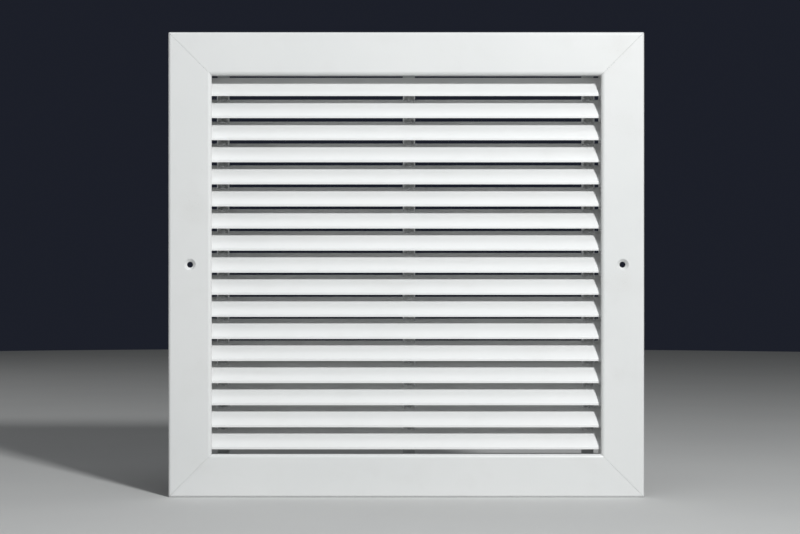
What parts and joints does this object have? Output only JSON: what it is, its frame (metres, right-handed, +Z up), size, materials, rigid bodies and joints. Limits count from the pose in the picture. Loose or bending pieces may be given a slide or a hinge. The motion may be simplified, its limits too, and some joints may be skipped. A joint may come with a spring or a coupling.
{
  "type": "louvred air grille",
  "caption": "Near-square return-air grille: mitred border with a rounded nose, fixed sloping blades on notched mullions, and two dimpled screw holes.",
  "frame": {"origin": "centre of the neck, midway between the two screw holes, in the plane of the wall that the frame's lip rests on", "axes": "+X to the right seen from the front, +Z up, -Y out of the face into the room, +Y into the duct"},
  "size_m": [0.409, 0.05, 0.3998],
  "materials": {
    "frame_paint": "satin off-white powder coat",
    "blade_paint": "satin off-white powder coat",
    "mullion_paint": "satin off-white powder coat, thinner",
    "key_zinc": "zinc-plated sheet steel",
    "rivet_aluminium": "plain aluminium"
  },
  "bodies": {
    "root": {"top_rail": "frame_paint", "bottom_rail": "frame_paint", "left_stile": "frame_paint", "right_stile": "frame_paint", "corner_key_top_left": "key_zinc", "corner_key_top_right": "key_zinc", "corner_key_bottom_left": "key_zinc", "corner_key_bottom_right": "key_zinc", "left_mullion": "mullion_paint", "middle_mullion": "mullion_paint", "right_mullion": "mullion_paint", "mullion_rivets": "rivet_aluminium", "blade_01": "blade_paint", "blade_02": "blade_paint", "blade_03": "blade_paint", "blade_04": "blade_paint", "blade_05": "blade_paint", "blade_06": "blade_paint", "blade_07": "blade_paint", "blade_08": "blade_paint", "blade_09": "blade_paint", "blade_10": "blade_paint", "blade_11": "blade_paint", "blade_12": "blade_paint", "blade_13": "blade_paint", "blade_14": "blade_paint", "blade_15": "blade_paint", "blade_16": "blade_paint", "blade_17": "blade_paint"}
  },
  "joints": []
}
